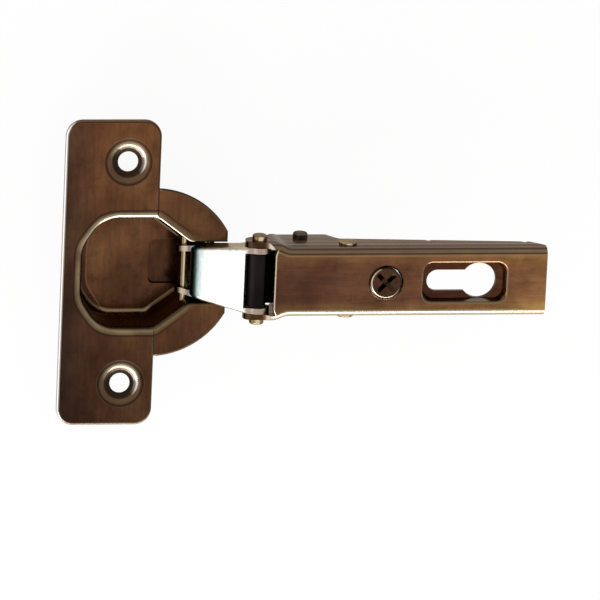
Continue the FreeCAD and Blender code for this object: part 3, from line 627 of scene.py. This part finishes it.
# A painted grey highlight lies on faces that slope halfway between the side and the flat.
leaf_highlight_steps = [(0.0, 0.0), (0.5, 0.2), (1.0, 0.0)]
black_steel = plated_steel(
    "black_steel",
    (leaf_dark, leaf_black, leaf_grey),
    [],
    [(slope, leaf_highlight_steps, leaf_grey, everywhere)],
    leaf_streaks,
    leaf_rough,
)
dress(black_steel, "spring_leaf_1", "spring_leaf_2", "spring_leaf_3")


# The sleeve that the leaves bear on: black nylon, moulded, and slipped over the knuckle
# pin before the pin is riveted.
nylon_rough = 0.5
nylon_clouds = {"scale": 700.0, "detail": 3.0}
nylon_tones = [(0.3, grey(0.012)), (0.7, grey(0.03))]
black_nylon = bpy.data.materials.new("black_nylon")
black_nylon.use_nodes = True
tree = black_nylon.node_tree
shader = tree.nodes["Principled BSDF"]
socket(shader, "Roughness", nylon_rough)
nylon_tone = colour_steps(tree, noise(tree, **nylon_clouds), nylon_tones)
tree.links.new(nylon_tone, shader.inputs["Base Color"])
dress(black_nylon, "spring_sleeve")


# A plain white floor that the cup's underside stands on. It shows white to the eye, to
# metal and to glass, and keeps a soft shadow of the hinge.
floor_half = 3.0
floor_gap = 0.0001
floor_tone = grey(0.92)
floor_rough = 0.9
floor_glow = 1.0
floor_glow_share = 0.92
floor_mesh = bmesh.new()
bmesh.ops.create_grid(floor_mesh, x_segments=1, y_segments=1, size=floor_half)
floor_drop = (0.0, 0.0, cad_box[0][2] - floor_gap)
bmesh.ops.translate(floor_mesh, verts=floor_mesh.verts, vec=floor_drop)
floor_data = bpy.data.meshes.new("floor")
floor_mesh.to_mesh(floor_data)
floor_mesh.free()
floor = bpy.data.objects.new("floor", floor_data)
bpy.context.scene.collection.objects.link(floor)
floor_white = bpy.data.materials.new("floor_white")
floor_white.use_nodes = True
tree = floor_white.node_tree
shader = tree.nodes["Principled BSDF"]
socket(shader, "Base Color", floor_tone)
socket(shader, "Roughness", floor_rough)
glow = tree.nodes.new("ShaderNodeEmission")
socket(glow, "Strength", floor_glow)
seen = tree.nodes.new("ShaderNodeLightPath").outputs
by_eye_or_metal = either_of(tree, "MAXIMUM", seen["Is Camera Ray"], seen["Is Glossy Ray"])
by_any = either_of(tree, "MAXIMUM", by_eye_or_metal, seen["Is Transmission Ray"])
glow_share = tree.nodes.new("ShaderNodeMath")
glow_share.operation = "MULTIPLY"
glow_share.inputs[1].default_value = floor_glow_share
blend = tree.nodes.new("ShaderNodeMixShader")
tree.links.new(by_any, glow_share.inputs[0])
tree.links.new(glow_share.outputs[0], blend.inputs["Fac"])
tree.links.new(shader.outputs["BSDF"], blend.inputs[1])
tree.links.new(glow.outputs["Emission"], blend.inputs[2])
tree.links.new(blend.outputs["Shader"], tree.nodes["Material Output"].inputs["Surface"])
floor_data.materials.append(floor_white)


# Plain studio light: an even pale world, and three large soft lamps low round the sides
# where the photographed hinge is brightest.
world_tone = (1.0, 0.985, 0.96, 1.0)
world_strength = 0.75
world = bpy.data.worlds.new("studio")
bpy.context.scene.world = world
world.use_nodes = True
background = world.node_tree.nodes["Background"]
socket(background, "Color", world_tone)
socket(background, "Strength", world_strength)
lamp_target = Vector((0.035, 0.0, 0.0))


def soft_lamp(name, place, width, depth, watts):
    lamp = bpy.data.lights.new(name, "AREA")
    lamp.shape = "RECTANGLE"
    lamp.size = width
    lamp.size_y = depth
    lamp.energy = watts
    holder = bpy.data.objects.new(name, lamp)
    bpy.context.scene.collection.objects.link(holder)
    turn = (lamp_target - Vector(place)).to_track_quat("-Z", "Y")
    holder.matrix_world = Matrix.Translation(place) @ turn.to_matrix().to_4x4()


soft_lamp("side_lamp", place=(-0.38, -0.56, 0.34), width=0.50, depth=0.30, watts=2.4)
soft_lamp("low_lamp", place=(0.06, -0.70, 0.22), width=0.90, depth=0.20, watts=4.0)
soft_lamp("left_lamp", place=(-0.70, 0.0, 0.26), width=0.60, depth=0.50, watts=0.6)


# The camera stands where the photograph was taken from: above the hinge, leaning a little
# towards the cup and towards the far screw hole.
photo_width = 600.0
pixels_per_metre = 4733.5
camera_distance = 1.5
lean_up = math.radians(14.65)
lean_left = math.radians(11.41)
roll = math.radians(0.357)
picture_centre = Vector((0.038, -0.006, 0.001))
picture_shift = Vector((0.000117, -0.000007, 0.0))
turn = (
    Matrix.Rotation(roll, 3, "Z")
    @ Matrix.Rotation(lean_left, 3, "Y")
    @ Matrix.Rotation(lean_up, 3, "X")
).transposed()
camera = bpy.data.cameras.new("camera")
camera.lens = camera.sensor_width * camera_distance * pixels_per_metre / photo_width
camera_object = bpy.data.objects.new("camera", camera)
bpy.context.scene.collection.objects.link(camera_object)
back_off = Vector((0.0, 0.0, camera_distance))
camera_object.matrix_world = (
    Matrix.Translation(picture_centre + turn @ (back_off - picture_shift)) @ turn.to_4x4()
)
bpy.context.scene.camera = camera_object
bpy.context.scene.view_settings.view_transform = "Standard"
